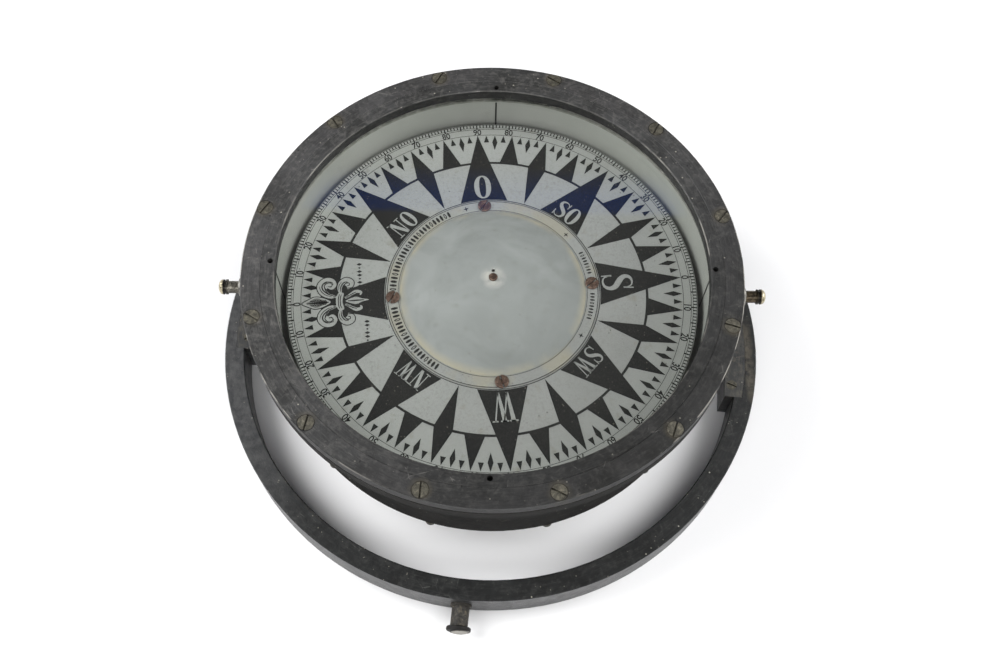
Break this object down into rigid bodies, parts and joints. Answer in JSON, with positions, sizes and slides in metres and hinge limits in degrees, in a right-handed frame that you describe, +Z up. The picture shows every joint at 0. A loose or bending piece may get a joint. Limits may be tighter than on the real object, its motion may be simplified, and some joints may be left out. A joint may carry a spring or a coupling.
{
  "type": "ship's liquid compass with gimbal ring",
  "caption": "Flat-topped marine compass bowl with a glass cover over a black and pale compass card with a domed float, standing on its base with its gimbal ring laid loose around it.",
  "frame": {"origin": "Bottom centre of the whole set, on the table under the middle of the bowl, which is also the middle of the ring.", "axes": "+Z is up out of the glass. +X is the axis of the bowl's trunnion pins, toward the keeper called right. +Y is the side of the bowl with the filler plug and is close to the axis of the ring's outer journals."},
  "size_m": [0.2976, 0.3262, 0.1017],
  "materials": {
    "ring_metal": "near-black paint over brass, lightly worn",
    "journal_metal": "dark necks with polished ends",
    "keeper_metal": "dark with a worn brass edge",
    "screw_brass": "tarnished",
    "bowl_metal": "oxidised gunmetal",
    "boss_metal": "dull pale metal",
    "pin_brass": "worn bright",
    "bezel_metal": "mottled oxidised gunmetal",
    "clear_glass": "clear",
    "seal_rubber": "matt",
    "liner_enamel": "pale grey enamel",
    "line_black": "matt",
    "plain_brass": "turned",
    "hard_steel": "ground",
    "lead": "dull",
    "card_face": "pale face with black divisions",
    "screw_copper": "dark copper",
    "float_enamel": "pale enamel",
    "jewel": "polished",
    "magnet_metal": "lacquered"
  },
  "bodies": {
    "ring": {"gimbal_ring": "ring_metal", "ring_journals": "journal_metal"},
    "right_keeper": {"keeper_right": "keeper_metal", "keeper_screws_right": "screw_brass"},
    "left_keeper": {"keeper_left": "keeper_metal", "keeper_screws_left": "screw_brass"},
    "pins": {"trunnion_pins": "pin_brass"},
    "bowl": {"bowl_body": "bowl_metal", "trunnion_bosses": "boss_metal", "bezel_ring": "bezel_metal", "bezel_screws": "screw_brass", "cover_glass": "clear_glass", "glass_gasket": "seal_rubber", "inner_liner": "liner_enamel", "lubber_lines": "line_black", "pan_floor": "liner_enamel", "pivot_post": "plain_brass", "pivot_seat": "hard_steel", "pivot_ball": "hard_steel", "diaphragm": "plain_brass", "base_flange": "bowl_metal", "base_drum": "bowl_metal", "flange_screws": "screw_brass", "ballast_ring": "lead", "filler_plug": "screw_brass", "filler_washer": "seal_rubber"},
    "card": {"card_disc": "card_face", "card_band": "card_face", "card_screws": "screw_copper", "float_dome": "float_enamel", "float_cone": "float_enamel", "pivot_jewel": "jewel", "jewel_cup": "plain_brass", "cap_screw": "screw_copper", "magnet_tubes": "magnet_metal", "magnet_brackets": "plain_brass"}
  },
  "joints": [
    {"name": "bowl_lift", "type": "slide", "parent": "ring", "child": "pins", "axis": [0, 0, 1], "range_m": [0, 0.04]},
    {"name": "bowl_tilt", "type": "hinge", "parent": "pins", "child": "bowl", "pos_m": [0, 0, 0.0737], "axis": [1, 0, 0], "range_deg": [-30, 30]},
    {"name": "card_spin", "type": "hinge", "parent": "bowl", "child": "card", "pos_m": [0, 0, 0.0737], "axis": [0, 0, 1], "continuous": true},
    {"name": "keeper_right_lift", "type": "slide", "parent": "ring", "child": "right_keeper", "axis": [0, 0, 1], "range_m": [0, 0.03]},
    {"name": "keeper_left_lift", "type": "slide", "parent": "ring", "child": "left_keeper", "axis": [0, 0, 1], "range_m": [0, 0.03]}
  ]
}
